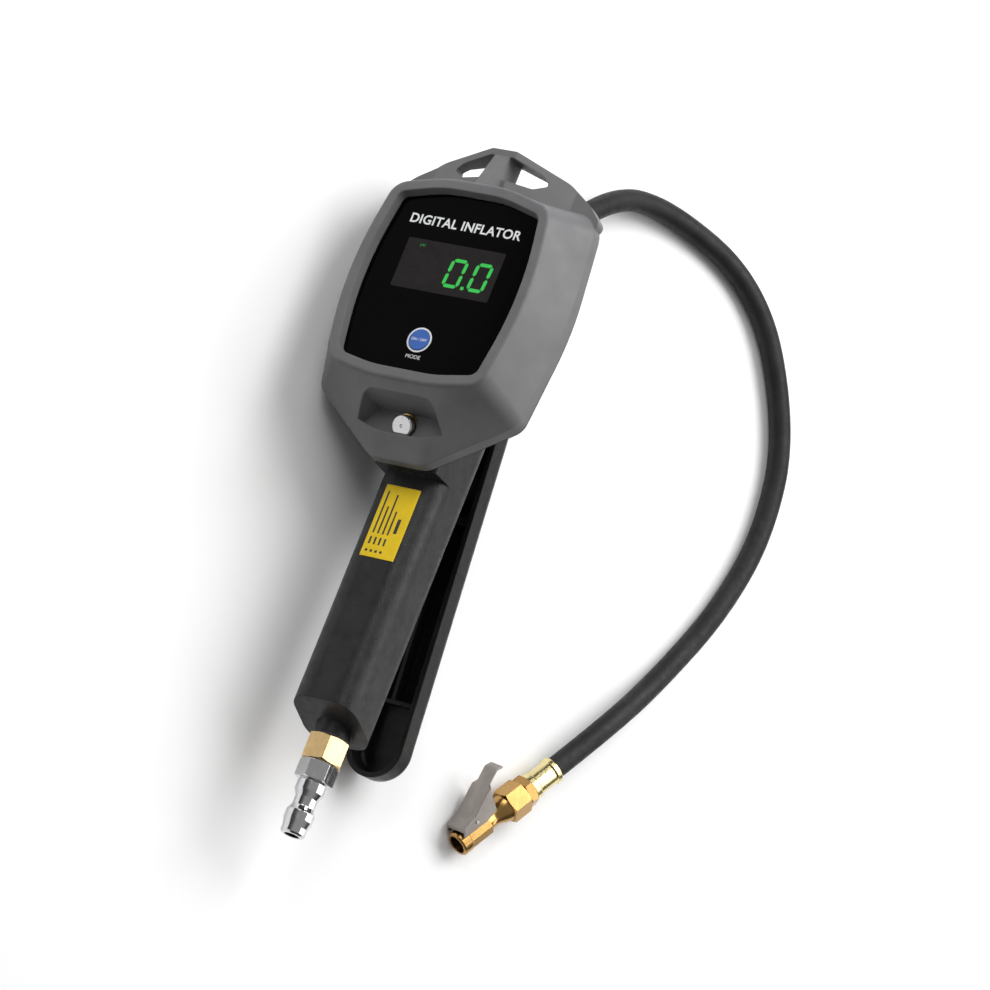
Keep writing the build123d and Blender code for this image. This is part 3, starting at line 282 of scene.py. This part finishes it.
# ------------------------------------------------------------ hose
HOSE_RADIUS = 0.00475
HOSE_POINTS = [
    (0.027235, 0.136169, 0.022505),
    (0.046244, 0.164919, 0.012110),
    (0.0780, 0.1812, 0.00475),
    (0.1394, 0.1733, 0.00475),
    (0.1778, 0.1234, 0.00475),
    (0.1857, 0.0791, 0.00475),
    (0.1787, 0.0387, 0.00475),
    (0.1628, -0.0001, 0.00475),
    (0.144203, -0.030500, 0.011050),
    (0.126821, -0.059659, 0.009152),
]
curve = bpy.data.curves.new("air_hose", "CURVE")
curve.dimensions = "3D"
curve.resolution_u = 24
curve.bevel_depth = HOSE_RADIUS
curve.bevel_resolution = 8
curve.use_fill_caps = True
spline = curve.splines.new("NURBS")
spline.points.add(len(HOSE_POINTS) - 1)
for knot, point in zip(spline.points, HOSE_POINTS):
    knot.co = (*point, 1.0)
spline.order_u = 3
spline.use_endpoint_u = True
hose = bpy.data.objects.new("air_hose", curve)
scene.collection.objects.link(hose)
dress(hose, "hose")
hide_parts("hose")
CHUCK_NODES = ["chuck_ferrule", "chuck_nut", "chuck_body", "chuck_seal", "depressor_pin"]
CHUCK_NODES += ["chuck_clip", "clip_pin", "clip_spring"]

# ------------------------------------------------------------ thin printed shapes


def raised(name, loops, level, thickness, slot):
    """Flat shapes of the tool's XY plane as thin solids. Loops hold (x, y) in millimetres."""
    corners, faces = [], []
    for loop in loops:
        first = len(corners)
        count = len(loop)
        for z in (level, level + thickness):
            corners.extend(tool(x, y, z) for x, y in loop)
        faces.append([first + count + i for i in range(count)])
        faces.append([first + i for i in reversed(range(count))])
        for i in range(count):
            j = (i + 1) % count
            faces.append([first + i, first + j, first + count + j, first + count + i])
    mesh = bpy.data.meshes.new(name)
    mesh.from_pydata(corners, [], faces)
    mesh.validate()
    mesh.update()
    piece = bpy.data.objects.new(name, mesh)
    scene.collection.objects.link(piece)
    return dress(piece, slot)


def bar(x, y, width, height):
    half, tall = width / 2, height / 2
    return [(x - half, y - tall), (x + half, y - tall), (x + half, y + tall), (x - half, y + tall)]


def rounded(x, y, width, height, radius, steps=6):
    """A counter-clockwise rounded rectangle."""
    loop = []
    for corner in range(4):
        cx = x + (width / 2 - radius) * (1 if corner in (0, 3) else -1)
        cy = y + (height / 2 - radius) * (1 if corner in (0, 1) else -1)
        for step in range(steps + 1):
            angle = (corner + step / steps) * pi / 2
            loop.append((cx + radius * cos(angle), cy + radius * sin(angle)))
    return loop


def lettering(name, words, x, y, height, level, slot, bold=0.0, body="inflator"):
    """Generic words standing a hair above the surface, centred on x and y."""
    font = bpy.data.curves.new(name, "FONT")
    font.body = words
    font.size = height / 0.72
    font.align_x = "CENTER"
    font.align_y = "CENTER"
    font.space_character = 1.05
    font.offset = bold
    font.extrude = 0.0
    font.resolution_u = 6
    holder = bpy.data.objects.new(name, font)
    scene.collection.objects.link(holder)
    bpy.context.view_layer.update()
    mesh = bpy.data.meshes.new_from_object(holder)
    bpy.data.objects.remove(holder)
    for vertex in mesh.vertices:
        vertex.co = tool(x + vertex.co.x, y + vertex.co.y, level)
    piece = bpy.data.objects.new(name, mesh)
    scene.collection.objects.link(piece)
    return dress(piece, slot, body)


# ------------------------------------------------------------ display, with its glass face at Z = 0
PRINT = 0.05
INK = 0.02
LCD_WIDTH = 45.6
LCD_HEIGHT = 22.0
TITLE_Y = 19.3
MODE_Y = -39.3
BUTTON_Y = -31.8
BUTTON_TOP = 0.6
raised("lcd_window", [rounded(0, 0, LCD_WIDTH, LCD_HEIGHT, 0.8)], INK, PRINT, "lcd")
lettering("title_line", "DIGITAL INFLATOR", 0, TITLE_Y, 4.1, PRINT, "print_white", 0.13)
lettering("mode_words", "MODE", 0, MODE_Y, 1.7, PRINT, "print_white")
button_print = BUTTON_TOP + 0.03
words_at = (0, BUTTON_Y, 1.15, button_print)
lettering("button_words", "ON / OFF", *words_at, "print_white", 0.02, "mode_button")

SEGMENT = 1.5
SLANT = 0.08


def segment(x0, y0, x1, y1):
    """One six-sided segment between two points, slanted like the rest of the digit."""
    half = SEGMENT / 2
    if abs(x1 - x0) > abs(y1 - y0):
        loop = [(x0, y0), (x0 + half, y0 - half), (x1 - half, y1 - half)]
        loop += [(x1, y1), (x1 - half, y1 + half), (x0 + half, y0 + half)]
    else:
        loop = [(x0, y0), (x0 + half, y0 + half), (x1 + half, y1 - half)]
        loop += [(x1, y1), (x1 - half, y1 - half), (x0 - half, y0 + half)]
    return [(x + SLANT * y, y) for x, y in loop]


def digit(x, y, wide, tall, lit_segments, gap=0.25):
    left, right = x - wide / 2, x + wide / 2
    low, high = y - tall / 2, y + tall / 2
    runs = {
        "a": (left + gap, high, right - gap, high),
        "b": (right, y + gap, right, high - gap),
        "c": (right, low + gap, right, y - gap),
        "d": (left + gap, low, right - gap, low),
        "e": (left, low + gap, left, y - gap),
        "f": (left, y + gap, left, high - gap),
        "g": (left + gap, y, right - gap, y),
    }
    return [segment(*runs[name]) for name in lit_segments]


DIGIT_LEVEL = INK + PRINT
DIGIT_Y = -1.2
DIGIT_WIDTH = 6.4
DIGIT_HEIGHT = 11.4
loops = []
for digit_x in (4.0, 15.6):
    loops += digit(digit_x, DIGIT_Y, DIGIT_WIDTH, DIGIT_HEIGHT, "abcdef")
loops.append(rounded(9.4, DIGIT_Y - DIGIT_HEIGHT / 2, 1.5, 1.5, 0.5))
raised("lcd_reading", loops, DIGIT_LEVEL, INK, "lcd_green")
lettering("lcd_unit", "psi", -15.3, 8.6, 1.5, DIGIT_LEVEL, "lcd_green")

# ------------------------------------------------------------ yellow label on the grip
GRIP_FRONT = -30.5
LABEL_Y = -98.7
LABEL_FOOT = LABEL_Y - 15.7
LABEL_SURFACE = GRIP_FRONT + 0.31
ROW_START = 1.1
ROW_STEP = 2.25
ROW_LENGTHS = (10.5, 17.5, 12.0, 18.5)
rows = [bar(3.9, LABEL_FOOT + 14.6, 1.5, 6.4)]
for index, length in enumerate(ROW_LENGTHS):
    x = ROW_START - ROW_STEP * index
    rows.append(bar(x, LABEL_FOOT + 7.0, 0.85, 3.2))
    rows.append(bar(x, LABEL_FOOT + 10.2 + length / 2, 0.75, length))
    rows.append(rounded(x, LABEL_FOOT + 2.6, 1.2, 1.2, 0.59))
raised("label_print", rows, LABEL_SURFACE, INK, "label_ink")

# ------------------------------------------------------------ floor, lights, world
REACH = 3.0
floor_corners = [(-REACH, -REACH, 0), (REACH, -REACH, 0), (REACH, REACH, 0), (-REACH, REACH, 0)]
floor_mesh = bpy.data.meshes.new("floor")
floor_mesh.from_pydata(floor_corners, [], [(0, 1, 2, 3)])
floor = bpy.data.objects.new("floor", floor_mesh)
scene.collection.objects.link(floor)
floor_paint = Paint("floor_paint", (0.93, 0.93, 0.93), 0.75, specular=0.2)
floor_mesh.materials.append(floor_paint.material)


def area_light(name, at, toward, size, power):
    """A soft rectangular lamp aimed from one point at another, sizes in metres, power in watts."""
    data = bpy.data.lights.new(name, "AREA")
    data.shape = "RECTANGLE"
    data.size, data.size_y = size
    data.energy = power
    lamp = bpy.data.objects.new(name, data)
    direction = Vector(toward) - Vector(at)
    turn = direction.to_track_quat("-Z", "Y").to_matrix().to_4x4()
    lamp.matrix_world = Matrix.Translation(Vector(at)) @ turn
    scene.collection.objects.link(lamp)


area_light("key", (0.50, 0.95, 1.25), (0.03, 0.0, 0.02), (1.5, 1.2), 31)
area_light("side", (1.15, 0.10, 0.75), (0.03, 0.0, 0.03), (0.35, 1.1), 4)
area_light("fill", (-1.05, 0.85, 1.0), (0.0, 0.0, 0.03), (0.9, 0.9), 11)

# The sky is dim near the horizon and bright overhead.
SKY_STRENGTH = 0.32
SKY_STOPS = ((0.0, 0.30), (0.12, 0.16), (0.45, 0.30), (0.75, 1.0))
world = bpy.data.worlds.new("studio")
scene.world = world
world.use_nodes = True
sky = world.node_tree
spot = sky.nodes.new("ShaderNodeTexCoord")
split = sky.nodes.new("ShaderNodeSeparateXYZ")
shade = sky.nodes.new("ShaderNodeValToRGB")
for at, value in SKY_STOPS:
    stop = shade.color_ramp.elements.new(at)
    stop.color = (value, value, value, 1.0)
shade.color_ramp.elements.remove(shade.color_ramp.elements[0])
shade.color_ramp.elements[-1].color = (1.0, 1.0, 1.0, 1.0)
sky.links.new(spot.outputs["Generated"], split.inputs["Vector"])
sky.links.new(split.outputs["Z"], shade.inputs["Fac"])
sky.links.new(shade.outputs["Color"], sky.nodes["Background"].inputs["Color"])
sky.nodes["Background"].inputs["Strength"].default_value = SKY_STRENGTH
scene.view_settings.view_transform = "Standard"
